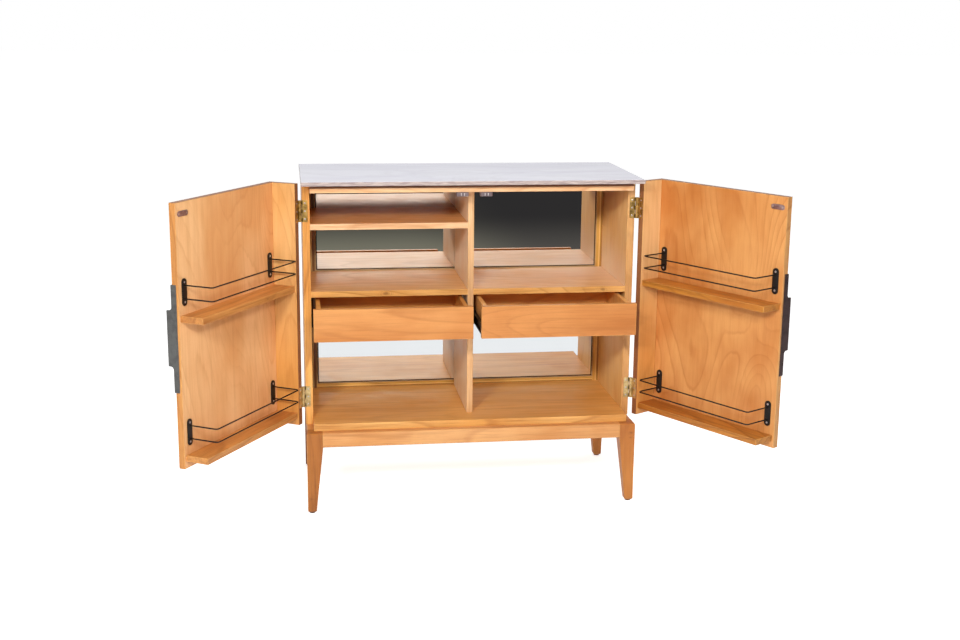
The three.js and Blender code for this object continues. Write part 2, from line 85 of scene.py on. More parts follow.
def nodePoints(name):
    return np.array([corner.co for corner in nodes[name].data.vertices], float)


# Shapes: a shape is (points, faces)
# Rings of equal corner count, joined ring to ring by quads, with a flat face on each end
def ringShape(rings):
    rings = np.asarray(rings, float)
    count, corners = rings.shape[:2]
    ring, corner = np.meshgrid(np.arange(count - 1), np.arange(corners), indexing="ij")
    a = ring * corners + corner
    b = ring * corners + (corner + 1) % corners
    quads = np.stack([a, b, b + corners, a + corners], axis=-1).reshape(-1, 4)
    first = list(range(corners))[::-1]
    last = list(range((count - 1) * corners, count * corners))
    return rings.reshape(-1, 3), quads.tolist() + [first, last]


# Signed volume by fans from the first corner of each face: a negative one means inside out
def outward(shape):
    points, faces = shape
    volume = 0.0
    for face in faces:
        fan = points[face]
        start = np.broadcast_to(fan[0], fan[2:].shape)
        volume += np.einsum("ij,ij->", np.cross(fan[1:-1], fan[2:]), start)
    return (points, [face[::-1] for face in faces]) if volume < 0 else shape


def gather(shapes):
    points, faces, start = [], [], 0
    for shape in shapes:
        own, ownFaces = outward(shape)
        points.append(own)
        faces += [[corner + start for corner in face] for face in ownFaces]
        start += len(own)
    return np.concatenate(points), faces


# The eased ends of a run from low to high: the outline draws in along a quarter circle at each end
def easedEnds(low, high, ease, rim):
    quarter = np.linspace(0, math.pi / 2, rim + 1)
    inset = np.concatenate([ease * (1 - np.sin(quarter)), ease * (1 - np.cos(quarter))])
    level = np.concatenate([low + ease * (1 - np.cos(quarter)), high - ease + ease * np.sin(quarter)])
    return inset, level


# A plate with rounded corners and eased rims, drawn in x and z and thick from y0 to y1:
# each corner is an arc about its own centre
def plateShape(x0, x1, z0, z1, radius, y0, y1, ease, steps=6, rim=3):
    turn = np.linspace(0, math.pi / 2, steps + 1)
    angle = np.concatenate([turn + k * math.pi / 2 for k in range(4)])
    left, right = x0 + radius, x1 - radius
    foot, head = z0 + radius, z1 - radius
    centreX = np.repeat([right, left, left, right], steps + 1)
    centreZ = np.repeat([head, head, foot, foot], steps + 1)
    inset, level = easedEnds(y0, y1, ease, rim)
    reach = (radius - inset)[:, None]
    x = centreX[None] + reach * np.cos(angle)[None]
    z = centreZ[None] + reach * np.sin(angle)[None]
    y = np.broadcast_to(level[:, None], x.shape)
    return ringShape(np.stack([x, y, z], axis=-1))


# An upright rod with eased ends
def rodShape(x, y, z0, z1, radius, ease, corners, rim=3):
    inset, level = easedEnds(z0, z1, ease, rim)
    reach = (radius - inset)[:, None]
    angle = np.linspace(0, 2 * math.pi, corners, endpoint=False)
    z = np.broadcast_to(level[:, None], (len(level), corners))
    return ringShape(np.stack([x + reach * np.cos(angle), y + reach * np.sin(angle), z], axis=-1))


# A round wire along a level path: the circle stands across the path's tangent
def wireShape(path, radius, corners=14):
    ahead = np.gradient(path, axis=0)
    ahead /= np.linalg.norm(ahead, axis=1)[:, None]
    up = np.array([0.0, 0.0, 1.0])
    across = np.cross(ahead, up)
    angle = np.linspace(0, 2 * math.pi, corners, endpoint=False)
    circle = np.cos(angle)[None, :, None] * across[:, None] + np.sin(angle)[None, :, None] * up
    return ringShape(path[:, None] + radius * circle)


screw = {
    "radius": 0.0031, "dome": 0.0009, "sink": 0.0006, "skirt": 0.0008, "corners": 32,
    "ringShares": (1.0, 1.0, 0.93, 0.8, 0.66, 0.5, 0.36, 0.2, 0.06), "crossWidthShare": 0.17,
    "crossReachShare": 0.6, "railRadius": 0.0034, "strikeRadius": 0.0028, "strikeDome": 0.0006,
    "backRadius": 0.0036,
}


# A screw head that faces along y: a low dome on a polar grid, with a cross sunk in it, and a skirt that
# stands in the plate. Facing is 1 or -1
def screwShape(centre, facing, radius=screw["radius"], dome=screw["dome"]):
    share = np.array(screw["ringShares"])[:, None]
    angle = np.linspace(0, 2 * math.pi, screw["corners"], endpoint=False)[None]
    x, y = share * radius * np.cos(angle), share * radius * np.sin(angle)
    height = dome * (1 - share**2) * np.ones_like(angle)
    cross = np.minimum(np.abs(x), np.abs(y)) < screw["crossWidthShare"] * radius
    height = np.where(cross & (share < screw["crossReachShare"]), height - screw["sink"], height)
    height[0] = -screw["skirt"]
    return ringShape(np.asarray(centre) + np.stack([facing * x, facing * height, -y], axis=-1))


# A colour in steps of 0 to 255, by the sRGB curve, as the linear values that a shader takes
def tint(red, green, blue):
    linear = [c / 3294.6 if c <= 10.3 else ((c / 255 + 0.055) / 1.055) ** 2.4 for c in (red, green, blue)]
    return (*linear, 1.0)


# Links a socket where the value is one, and sets it otherwise
def feed(tree, sockets, values):
    for key, value in values.items():
        if isinstance(value, bpy.types.NodeSocket):
            tree.links.new(value, sockets[key])
        else:
            sockets[key].default_value = value


def put(tree, kind, inputs=None, **settings):
    made = tree.nodes.new("ShaderNode" + kind)
    for key, value in settings.items():
        setattr(made, key, value)
    feed(tree, made.inputs, inputs or {})
    return made


def calc(tree, operation, *values, clamp=False):
    return put(tree, "Math", dict(enumerate(values)), operation=operation, use_clamp=clamp).outputs[0]


def times(tree, first, second):
    return calc(tree, "MULTIPLY", first, second)


def ramp(tree, value, low, high, start=0.0, end=1.0):
    inputs = {"Value": value, "From Min": low, "From Max": high, "To Min": start, "To Max": end}
    return put(tree, "MapRange", inputs, interpolation_type="SMOOTHSTEP").outputs[0]


# Mixes two colours, each a socket or a colour in steps of 0 to 255. A Mix node holds one set of sockets for
# each data type: 0 is the factor, 6 and 7 are the colours
def blend(tree, share, first, second, way="MIX"):
    first, second = (tint(*tone) if isinstance(tone, tuple) else tone for tone in (first, second))
    inputs = {0: share, 6: first, 7: second}
    return put(tree, "Mix", inputs, data_type="RGBA", blend_type=way).outputs[2]


def noise(tree, vector, scale, detail=2.0, roughness=0.5, distortion=0.0):
    inputs = {
        "Vector": vector, "Scale": scale, "Detail": detail, "Roughness": roughness, "Distortion": distortion,
    }
    return put(tree, "TexNoise", inputs).outputs[0]


def vectorCalc(tree, operation, *values):
    return put(tree, "VectorMath", dict(enumerate(values)), operation=operation).outputs


def scaled(tree, vector, factors):
    return vectorCalc(tree, "MULTIPLY", vector, factors)[0]


# A noise for each row: scale along x, y and z, detail, roughness and distortion
def noises(tree, vector, rows):
    made = {}
    for label, (scale, *rest) in rows.items():
        made[label] = noise(tree, scaled(tree, vector, scale), 1.0, *rest)
    return made


def separate(tree, vector):
    return put(tree, "SeparateXYZ", {0: vector}).outputs


def objectPoint(tree):
    return put(tree, "TexCoord").outputs["Object"]


def newGroup(name, inputs, outputs):
    group = bpy.data.node_groups.new(name, "ShaderNodeTree")
    kinds = {"value": "NodeSocketFloat", "colour": "NodeSocketColor", "vector": "NodeSocketVector"}
    for way, sockets in (("INPUT", inputs), ("OUTPUT", outputs)):
        for label, kind in sockets.items():
            group.interface.new_socket(name=label, in_out=way, socket_type=kinds[kind])
    return group, group.nodes.new("NodeGroupInput").outputs, group.nodes.new("NodeGroupOutput").inputs


def useGroup(tree, group, inputs):
    return put(tree, "Group", inputs, node_tree=group).outputs


# A material with nothing but its output node
def bareMaterial(name):
    material = bpy.data.materials.new(name)
    material.use_nodes = True
    tree = material.node_tree
    tree.nodes.clear()
    return material, tree, tree.nodes.new("ShaderNodeOutputMaterial").inputs[0]


def newMaterial(name, fixed):
    material, tree, surface = bareMaterial(name)
    shader = put(tree, "BsdfPrincipled", fixed)
    tree.links.new(shader.outputs[0], surface)
    return material, tree, shader.inputs


# Links colour and roughness to a shader, and a bump of the given strength and height
def linkLook(tree, shader, colour, roughness, height=None, strength=0.0, distance=0.0):
    feed(tree, shader, {"Base Color": colour, "Roughness": roughness})
    if height:
        bump = put(tree, "Bump", {"Height": height, "Strength": strength, "Distance": distance})
        feed(tree, shader, {"Normal": bump.outputs[0]})


# Node groups
woodNoise = {
    "field": ((3.4, 3.4, 0.9), 1.0, 0.4, 0.25),
    "ragged": ((70.0, 70.0, 6.0), 3.0, 0.6, 0.0),
    "patch": ((4.0, 4.0, 1.8), 2.0, 0.5, 0.0),
    "tone": ((5.5, 5.5, 2.2), 3.0, 0.55, 0.0),
    "fibre": ((300.0, 300.0, 9.0), 3.0, 0.6, 0.0),
    "streak": ((70.0, 70.0, 2.6), 3.0, 0.6, 0.0),
    "rays": ((900.0, 900.0, 160.0), 1.0, 0.5, 0.0),
    "mottle": ((26.0, 26.0, 6.0), 3.0, 0.6, 0.0),
}
wood = {
    "raggedShare": 0.01, "after": (0.0, 0.12, 1.0, 0.0), "before": (0.8, 1.0),
    "shade": (0.25, 1.0, 0.0, 0.42), "patch": (0.34, 0.6, 0.22, 1.0), "tone": (0.32, 0.68),
    "streak": (0.45, 0.72), "fibre": (0.46, 0.74), "ray": (0.63, 0.72), "rayShare": 0.16,
    "mottleGloss": 0.16, "fibreGloss": 0.1, "fibreHeight": 0.6, "rayHeight": 0.5,
}


# Wood: growth lines are contour lines of a smooth field stretched along z, each a thin dark line with a soft
# shade before it; over them lie broad tone, fine fibre along z, and short dark rays
def woodGroup():
    ins = {
        "Grain": "vector", "Pale": "colour", "Warm": "colour", "Line": "colour",
        "Rings": "value", "Line Strength": "value", "Fibre Strength": "value",
    }
    tree, given, result = newGroup("wood", ins, {"Color": "colour", "Gloss": "value", "Height": "value"})
    made = noises(tree, given["Grain"], woodNoise)
    field = calc(tree, "MULTIPLY_ADD", made["ragged"], wood["raggedShare"], made["field"])
    ring = calc(tree, "FRACT", times(tree, field, given["Rings"]))
    thin = calc(tree, "MAXIMUM", ramp(tree, ring, *wood["after"]), ramp(tree, ring, *wood["before"]))
    line = calc(tree, "MAXIMUM", thin, ramp(tree, ring, *wood["shade"]))
    line = times(tree, line, ramp(tree, made["patch"], *wood["patch"]))
    ray = ramp(tree, made["rays"], *wood["ray"])
    body = blend(tree, ramp(tree, made["tone"], *wood["tone"]), given["Pale"], given["Warm"])
    body = blend(tree, times(tree, line, given["Line Strength"]), body, given["Line"])
    for label in ("streak", "fibre"):
        depth = times(tree, ramp(tree, made[label], *wood[label]), given["Fibre Strength"])
        body = blend(tree, depth, body, given["Line"])
    body = blend(tree, times(tree, ray, wood["rayShare"]), body, given["Line"])
    fine = times(tree, made["fibre"], wood["fibreGloss"])
    gloss = calc(tree, "MULTIPLY_ADD", made["mottle"], wood["mottleGloss"], fine)
    ridge = times(tree, made["fibre"], wood["fibreHeight"])
    height = calc(tree, "SUBTRACT", ridge, times(tree, ray, wood["rayHeight"]))
    feed(tree, result, {"Color": body, "Gloss": gloss, "Height": height})
    return tree


edgeWearAndSheen = {"noise": (38.0, 3.0, 0.6), "width": 0.0044, "share": 0.35}


# Board: how far a point is from the board's faces, as a mask for its lipping and one for its edges, which are
# paler from wear and from a painted highlight on the arrises. A point by an edge is near to two faces, so the
# edge mask follows the second smallest distance
def boardGroup():
    ins = {"Place": "vector", "Centre": "vector", "Half": "vector", "Thin": "vector", "Lip": "value"}
    tree, given, result = newGroup("board edges", ins, {"Lipping": "value", "WearAndSheen": "value"})
    size = vectorCalc(tree, "ABSOLUTE", vectorCalc(tree, "SUBTRACT", given["Place"], given["Centre"])[0])[0]
    left = vectorCalc(tree, "SUBTRACT", given["Half"], size)[0]
    a, b, c = separate(tree, left)
    low, high = calc(tree, "MINIMUM", a, b), calc(tree, "MAXIMUM", a, b)
    second = calc(tree, "MAXIMUM", low, calc(tree, "MINIMUM", high, c))
    d, e, f = separate(tree, vectorCalc(tree, "ADD", left, given["Thin"])[0])
    edge = calc(tree, "MINIMUM", calc(tree, "MINIMUM", d, e), f)
    lip = calc(tree, "LESS_THAN", edge, given["Lip"])
    width = times(tree, noise(tree, given["Place"], *edgeWearAndSheen["noise"]), edgeWearAndSheen["width"])
    wornAndLit = calc(tree, "SUBTRACT", 1.0, calc(tree, "DIVIDE", second, width), clamp=True)
    feed(tree, result, {"Lipping": lip, "WearAndSheen": wornAndLit})
    return tree


handled = {"smudge": (9.0, 4.0, 0.6, 0.4), "smudgeSpan": (0.35, 0.75), "grit": (900.0, 2.0, 0.6)}


# Handling: soft smudges and fine dust that only change the gloss and, a little, the tone
def handlingGroup():
    tree, given, result = newGroup("handling", {"Point": "vector"}, {"Smudge": "value", "Grit": "value"})
    smudge = ramp(tree, noise(tree, given["Point"], *handled["smudge"]), *handled["smudgeSpan"])
    grit = noise(tree, given["Point"], *handled["grit"])
    feed(tree, result, {"Smudge": smudge, "Grit": grit})
    return tree


knotLook = {
    "stretch": (0.55, 1.0, 1.0), "noise": (160.0, 3.0, 0.6), "uneven": (0.9, 0.55),
    "eye": (0.25, 0.9, 1.0, 0.0), "halo": (0.8, 2.2, 0.5, 0.0), "rings": 2.4, "ring": (0.2, 0.8),
    "tint": (112, 58, 26),
}


# Knot: a dark eye with rings about it, on an ellipse round one spot of the board
def knotGroup():
    ins = {"Place": "vector", "Spot": "vector", "Size": "value"}
    tree, given, result = newGroup("knot", ins, {"Mask": "value"})
    off = vectorCalc(tree, "SUBTRACT", given["Place"], given["Spot"])[0]
    far = vectorCalc(tree, "LENGTH", scaled(tree, off, knotLook["stretch"]))["Value"]
    rough = noise(tree, given["Place"], *knotLook["noise"])
    uneven = calc(tree, "MULTIPLY_ADD", rough, *knotLook["uneven"])
    share = calc(tree, "DIVIDE", far, times(tree, given["Size"], uneven))
    ring = calc(tree, "FRACT", times(tree, share, knotLook["rings"]))
    halo = ramp(tree, share, *knotLook["halo"])
    halo = times(tree, halo, ramp(tree, ring, *knotLook["ring"]))
    feed(tree, result, {"Mask": calc(tree, "MAXIMUM", ramp(tree, share, *knotLook["eye"]), halo)})
    return tree


woodLook = woodGroup()
knot = knotGroup()
boardEdges = boardGroup()
handling = handlingGroup()


# The tones of each kind of board: pale wood, warm wood and growth lines
tones = {
    "paleDoor": ((241, 190, 134), (223, 158, 98), (199, 128, 67)),
    "warmDoor": ((222, 160, 94), (197, 123, 58), (176, 98, 40)),
    "paleReturn": ((237, 194, 138), (226, 172, 108), (192, 131, 70)),
    "goldReturn": ((228, 182, 121), (216, 160, 91), (182, 120, 56)),
    "wall": ((252, 214, 144), (242, 194, 120), (206, 148, 80)),
    # painted sheen: a paler, less saturated copy of the wall tone, for the divider
    "sheenWall": ((255, 240, 212), (252, 226, 190), (226, 186, 142)),
    "upperFloor": ((248, 200, 138), (238, 180, 114), (200, 134, 70)),
    "lowerFloor": ((242, 186, 108), (230, 168, 88), (192, 126, 54)),
    "doorShelf": ((206, 138, 70), (184, 112, 48), (140, 76, 24)),
    "deepShelf": ((196, 126, 50), (172, 100, 32), (122, 64, 16)),
    "deepLip": ((202, 134, 52), (178, 106, 36), (126, 66, 18)),
    # painted shade: a darker copy of the floor tone, for the upper left shelf
    "shadedShelfFloor": ((226, 172, 110), (212, 152, 88), (176, 110, 52)),
    # painted light: a paler copy of the leg tone, for the right front leg
    "litLeg": ((208, 138, 66), (188, 114, 46), (140, 76, 24)),
    "drawerFront": ((218, 152, 86), (196, 124, 58), (160, 88, 32)),
    # painted shade: a darker copy of the drawer front tone, for the right drawer, which gets more lamp light
    "shadedDrawer": ((210, 140, 74), (186, 112, 48), (148, 78, 24)),
    "outer": ((230, 166, 104), (216, 146, 82), (178, 106, 50)),
    # painted shade: a dark copy of the trim tone, for the left mirror stile
    "shadedTrim": ((132, 92, 46), (108, 72, 34), (70, 44, 20)),
    "trim": ((228, 182, 96), (206, 154, 68), (150, 98, 34)),
    "apron": ((226, 170, 110), (208, 142, 78), (168, 100, 46)),
    "leg": ((177, 109, 44), (157, 89, 28), (114, 58, 17)),
    # painted light: a paler copy of the leg tone, for the right back leg, which stands in shade
    "litBackLeg": ((246, 172, 90), (228, 148, 68), (164, 94, 36)),
    "drawerBox": ((220, 160, 84), (200, 134, 60), (146, 86, 32)),
    # painted light: a paler copy of the drawer box tone, for the inside of the right drawer
    "litBox": ((240, 186, 112), (222, 160, 88), (168, 108, 54)),
    "backBoard": ((214, 178, 132), (200, 160, 112), (162, 122, 80)),
    "paleLip": ((246, 206, 162), (232, 182, 130), (186, 122, 66)),
    "goldLip": ((238, 184, 108), (220, 156, 76), (166, 98, 36)),
    "doorLip": ((212, 148, 80), (192, 124, 58), (150, 84, 32)),
    "dividerLip": ((234, 195, 148), (219, 170, 115), (176, 114, 60)),
    "amberLip": ((238, 176, 94), (220, 148, 62), (162, 92, 28)),
    "rightSideLip": ((222, 172, 112), (204, 144, 78), (152, 90, 38)),
    "rightDoorLip": ((213, 158, 96), (194, 134, 74), (152, 92, 44)),
}
# The figure of each slot: growth lines, strength of the lines and of the fibre, and the grain's axis
figureParts = ("rings", "line", "fibre", "grain")
figure = {
    "upright_veneer": (30.0, 0.3, 0.2, "z"),
    "level_veneer": (14.0, 0.36, 0.34, "x"),
    "drawer_veneer": (30.0, 0.3, 0.2, "x"),
    "trim_wood": (8.0, 0.45, 0.34, "z"),
    "base_wood": (14.0, 0.4, 0.34, "z"),
    "drawer_wood": (10.0, 0.4, 0.3, "x"),
    "back_board": (13.0, 0.38, 0.26, "x"),
}
# Boards whose figure differs from their slot's: the stretch shortens the growth lines along the grain,
# and the spot is the place in the field that the board is cut from
boardFigure = {
    "left_door_front_panel": {"rings": 46.0, "line": 0.32, "fibre": 0.22, "stretch": 0.8},
    "right_door_front_panel": {
        "rings": 25.0, "line": 0.42, "fibre": 0.16, "stretch": 1.5, "spot": (3.235, -0.33, 4.9),
    },
    "left_side_panel": {"rings": 12.0, "line": 0.22},
    "right_side_panel": {"rings": 12.0, "line": 0.22},
    "centre_divider": {"rings": 10.0, "line": 0.2},
    "left_drawer_front": {"line": 0.44},
    "right_drawer_front": {"line": 0.2},
}
lipFigure = {"rings": 22.0, "line": 0.5, "fibre": 0.46}
# The tone of a board's faces and of its lipping, by slot and then for single boards
slotTones = {
    "upright_veneer": ("wall", "goldLip"), "level_veneer": ("lowerFloor", "goldLip"),
    "drawer_veneer": ("drawerFront", "doorLip"), "trim_wood": ("trim", None), "base_wood": ("leg", None),
    "drawer_wood": ("drawerBox", None), "back_board": ("backBoard", None),
}
boardTones = {
    "left_door_front_panel": ("paleDoor", "doorLip"), "right_door_front_panel": ("warmDoor", "rightDoorLip"),
    "left_door_return_panel": ("goldReturn", "goldLip"), "right_door_return_panel": ("paleReturn", "goldLip"),
    # the upper left shelf takes the painted shade copy of the floor tone
    "top_board": ("upperFloor", "paleLip"), "upper_left_shelf": ("shadedShelfFloor", "paleLip"),
    "left_mid_shelf": ("upperFloor", "goldLip"), "right_mid_shelf": ("upperFloor", "goldLip"),
    "left_side_panel": ("wall", "amberLip"), "right_side_panel": ("wall", "rightSideLip"),
    # the divider takes the painted sheen copy of the wall tone, and the left mirror stile the painted shade
    # copy of the trim
    "centre_divider": ("sheenWall", "dividerLip"), "left_mirror_stile": ("shadedTrim", None),
    # the right legs take painted light copies of the leg tone
    "right_back_leg": ("litBackLeg", None), "right_front_leg": ("litLeg", None),
    # the right drawer front takes the painted shade copy, and its box the painted light copy
    "right_drawer_front": ("shadedDrawer", "doorLip"), "right_drawer_box": ("litBox", None),
}
for end in ("lower", "upper"):
    boardFigure[f"left_door_{end}_shelf"] = {"line": 0.4, "fibre": 0.4}
    boardFigure[f"right_door_{end}_shelf"] = {"line": 0.5, "fibre": 0.46}
    boardTones[f"left_door_{end}_shelf"] = ("doorShelf", "doorLip")
    boardTones[f"right_door_{end}_shelf"] = ("deepShelf", "deepLip")
# Aprons with the axis of their grain
aprons = {"front_apron": "x", "back_apron": "x", "left_side_apron": "y", "right_side_apron": "y"}
boardTones.update({name: ("apron", None) for name in aprons})
# Knots by board: place in the layout, size, and strength
knots = {
    "left_mid_shelf": [((-0.255, 0.098, 0.652), 0.008, 0.6)],
    "right_mid_shelf": [((-0.409, 0.098, 0.652), 0.0066, 0.5)],
    "bottom_board": [((-0.462, 0.0, 0.262), 0.007, 0.42)],
    "left_door_upper_shelf": [((-0.33, 0.09, 0.674), 0.0055, 0.42)],
    "right_front_leg": [((-0.488, 0.0, 0.221), 0.004, 0.6), ((-0.487, 0.0, 0.206), 0.0026, 0.5)],
    "left_front_leg": [((-0.489, 0.0, 0.046), 0.003, 0.5)],
}
# Painted light and shade on a board: painted shade of the top board over the top of the right upper bay's
# wall, and painted light at the foot of that wall and on the rear corner of its floor. The tint grows along a
# slope of x, y and z, over a span of it, above one height. Slope, span, height, tint, share and way of mixing
paintedLightAndShade = {
    "right_side_panel": [
        ((0.0, 0.45, 1.0), (0.94, 1.1), 0.8, (140, 104, 96), 0.85, "MULTIPLY"),
        ((0.0, 0.15, -1.0), (-0.77, -0.6), 0.65, (255, 238, 222), 0.55, "MIX"),
    ],
    "right_mid_shelf": [((-1.0, 0.6, 0.0), (0.4, 0.72), 0.65, (255, 232, 210), 0.55, "MIX")],
}
# The mirror trim's moulding, painted on its flat face by share of its width from the wall: painted shade in a
# cove, then a painted highlight on a bead
paintedMoulding = {
    "coveShade": (0.2, 0.36, 1.0, 0.0), "coveDepth": 0.6, "coveShadeTone": (112, 62, 26),
    "beadUp": (0.36, 0.42), "beadDown": (0.48, 0.56, 1.0, 0.0), "beadLight": 0.6,
    "beadHighlightTone": (252, 216, 146),
}
# Edges and bands of another tone: a darker rear edge on the return panels, a darker top edge on the door
# panels, and painted shadow of the stone's overhang along the top of the top board. How deep they reach into
# the board, how strong they are, and the tone
edgeBands = {
    "edgeTone": (0.0005, 0.85, (122, 74, 52)),
    "capped": (0.0005, 0.75, (126, 96, 88)),
    "paintedStoneShadow": (0.0045, 0.85, (118, 60, 30)),
}
varnish = {
    "fixed": {"Coat Weight": 0.04, "Coat Roughness": 0.2}, "roughness": 0.32,
    "smudgeGloss": 0.08, "smudgeTone": 0.1, "bump": (0.18, 0.0004),
}
outerRings = 30.0
outerReach = 0.0004
# Painted light and shade on the return panels: darker and warmer towards the bottom, pale at the top where
# sheen falls
paintedReturnShade = {"span": (0.78, 0.36), "tint": (240, 214, 170)}
glide = {"height": 0.0029, "tint": (58, 44, 36)}
lipWidth = 0.0013
seedReach = 4.0
grainTurns = {"x": (0.0, -math.pi / 2, 0.0), "y": (math.pi / 2, 0.0, 0.0), "z": (0.0, 0.0, 0.0)}
grainOf = {"mirror_bottom_rail": "x", "mirror_top_rail": "x", **aprons}
seeds = np.random.default_rng(11)


# Colours and strengths of the wood group for one tone
def woodInputs(along, tone, cut):
    pale, warm, line = (tint(*colour) for colour in tones[tone])
    return {
        "Grain": along, "Pale": pale, "Warm": warm, "Line": line, "Rings": cut["rings"],
        "Line Strength": cut["line"], "Fibre Strength": cut["fibre"],
    }


# The layout's place of a point, as nodes: a Mapping node undoes what toFrame did
def layoutPlace(tree, onDoor, onRight):
    turn = layout["doorAngle"] if onDoor else 0.0
    cosine, sine = math.cos(turn), math.sin(turn)
    pin = np.array([layout["pinX"], layout["pinY"], 0.0])
    home = toFrame(pin)
    moved = np.array([cosine * home[0] - sine * home[1], sine * home[0] + cosine * home[1], 0.0])
    inputs = {
        "Vector": objectPoint(tree), "Scale": (-1.0 if onRight else 1.0, 1.0, 1.0),
        "Rotation": (0.0, 0.0, turn), "Location": tuple(pin - moved),
    }
    return put(tree, "Mapping", inputs).outputs[0]


# Paints light or shade on a board: a tint that grows along a slope of its place
def addPaintedLightAndShade(tree, colour, place, slope, span, height, tone, strength, way):
    along = vectorCalc(tree, "DOT_PRODUCT", place, slope)["Value"]
    above = calc(tree, "GREATER_THAN", separate(tree, place)[2], height)
    share = times(tree, times(tree, ramp(tree, along, *span), above), strength)
    return blend(tree, share, colour, tone, way)


# Painted shade of a cove and painted highlight of a bead, along the trim's longer side and counted from the
# wall that it lies on
def addPaintedMoulding(tree, colour, axis, wall, width):
    off = calc(tree, "ABSOLUTE", calc(tree, "SUBTRACT", axis, wall))
    share = calc(tree, "DIVIDE", off, width)
    coveShade = times(tree, ramp(tree, share, *paintedMoulding["coveShade"]), paintedMoulding["coveDepth"])
    up, down = (ramp(tree, share, *paintedMoulding[side]) for side in ("beadUp", "beadDown"))
    beadHighlight = times(tree, times(tree, up, down), paintedMoulding["beadLight"])
    colour = blend(tree, coveShade, colour, paintedMoulding["coveShadeTone"])
    return blend(tree, beadHighlight, colour, paintedMoulding["beadHighlightTone"])


# Tints a board's high end along one axis
def addBand(tree, colour, axis, end, kind):
    reach, strength, tone = edgeBands[kind]
    share = times(tree, calc(tree, "GREATER_THAN", axis, end - reach), strength)
    return blend(tree, share, colour, tone)


# A board's own wood: layout place, turned so that the grain runs along z, and moved by the board's own seed
def woodMaterial(name, slot, onDoor, onRight):
    cut = {"stretch": 1.0, **dict(zip(figureParts, figure[slot])), **boardFigure.get(name, {})}
    tone, lip = boardTones.get(name, slotTones[slot])
    material, tree, shader = newMaterial(name, varnish["fixed"])
    place = layoutPlace(tree, onDoor, onRight)
    axes = separate(tree, place)
    points = toLayout(nodePoints(name), onDoor, onRight)
    low, high = points.min(axis=0), points.max(axis=0)
    centre, half = (low + high) / 2, (high - low) / 2
    grainMap = {
        "Vector": place, "Rotation": grainTurns[grainOf.get(name, cut["grain"])],
        "Location": cut.get("spot", tuple(seeds.uniform(-seedReach, seedReach, 3))),
    }
    along = put(tree, "Mapping", grainMap).outputs[0]
    along = scaled(tree, along, (1.0, 1.0, cut["stretch"]))
    face = useGroup(tree, woodLook, woodInputs(along, tone, cut))
    zones = {
        "Place": place, "Centre": tuple(centre), "Half": tuple(half), "Lip": lipWidth,
        "Thin": tuple(np.eye(3)[np.argmin(half)]),
    }
    edges = useGroup(tree, boardEdges, zones)
    colour = face["Color"]
    # painted shade and painted light, by place
    for stretch in paintedLightAndShade.get(name, []):
        colour = addPaintedLightAndShade(tree, colour, place, *stretch)
    doorPanel = onDoor and name.endswith("panel")
    if doorPanel or name.endswith("side_panel"):
        outside = useGroup(tree, woodLook, woodInputs(along, "outer", {**cut, "rings": outerRings}))
        k = 1 if name.endswith("front_panel") else 0
        outer = calc(tree, "LESS_THAN", axes[k], float(low[k]) + outerReach)
        colour = blend(tree, outer, colour, outside["Color"])
    if slot == "trim_wood":
        k = int(np.argsort(half)[1])
        wall = float((high if name == "mirror_top_rail" else low)[k])
        # painted shade and highlight of the trim's moulding
        colour = addPaintedMoulding(tree, colour, axes[k], wall, float(high[k] - low[k]))
    if lip:
        band = useGroup(tree, woodLook, woodInputs(along, lip, {**cut, **lipFigure}))
        colour = blend(tree, edges["Lipping"], colour, band["Color"])
    # edges paler from wear and from a painted highlight on the arrises
    wornAndLit = tones["paleLip" if lip == "paleLip" else "goldLip"][0]
    colour = blend(tree, times(tree, edges["WearAndSheen"], edgeWearAndSheen["share"]), colour, wornAndLit)
    for spot, size, strength in knots.get(name, []):
        eye = useGroup(tree, knot, {"Place": place, "Spot": spot, "Size": size})["Mask"]
        colour = blend(tree, times(tree, eye, strength), colour, knotLook["tint"])
    if name.endswith("return_panel"):
        # painted shade, darker and warmer towards the bottom of the return panel
        colour = blend(tree, ramp(tree, axes[2], *paintedReturnShade["span"]), colour, paintedReturnShade["tint"], "MULTIPLY")
        # a darker tone on the return panel's rear edge
        colour = addBand(tree, colour, axes[1], float(high[1]), "edgeTone")
    if doorPanel:
        colour = addBand(tree, colour, axes[2], float(high[2]), "capped")
    # painted shadow of the stone's overhang along the top of the top board
    if name == "top_board":
        colour = addBand(tree, colour, axes[2], float(high[2]), "paintedStoneShadow")
    if name.endswith("leg"):
        colour = blend(tree, calc(tree, "LESS_THAN", axes[2], glide["height"]), colour, glide["tint"])
    smudge = useGroup(tree, handling, {"Point": place})["Smudge"]
    share = times(tree, smudge, varnish["smudgeTone"])
    colour = blend(tree, share, colour, tones[tone][1], "MULTIPLY")
    roughness = calc(tree, "MULTIPLY_ADD", smudge, varnish["smudgeGloss"], varnish["roughness"])
    roughness = calc(tree, "ADD", roughness, face["Gloss"])
    linkLook(tree, shader, colour, roughness, face["Height"], *varnish["bump"])
    return material


def dress(name, material):
    nodes[name].material_slots[0].material = material


slotOf = {row["node"]: row["material_slot"] for row in frame["record"]["subparts"]}
woodNodes = [name for name in nodes if slotOf[name] in figure]
for name in sorted(woodNodes):
    dress(name, woodMaterial(name, slotOf[name], "_door_" in name, name.startswith("right_")))
print("stage: wood on", len(woodNodes), "boards")


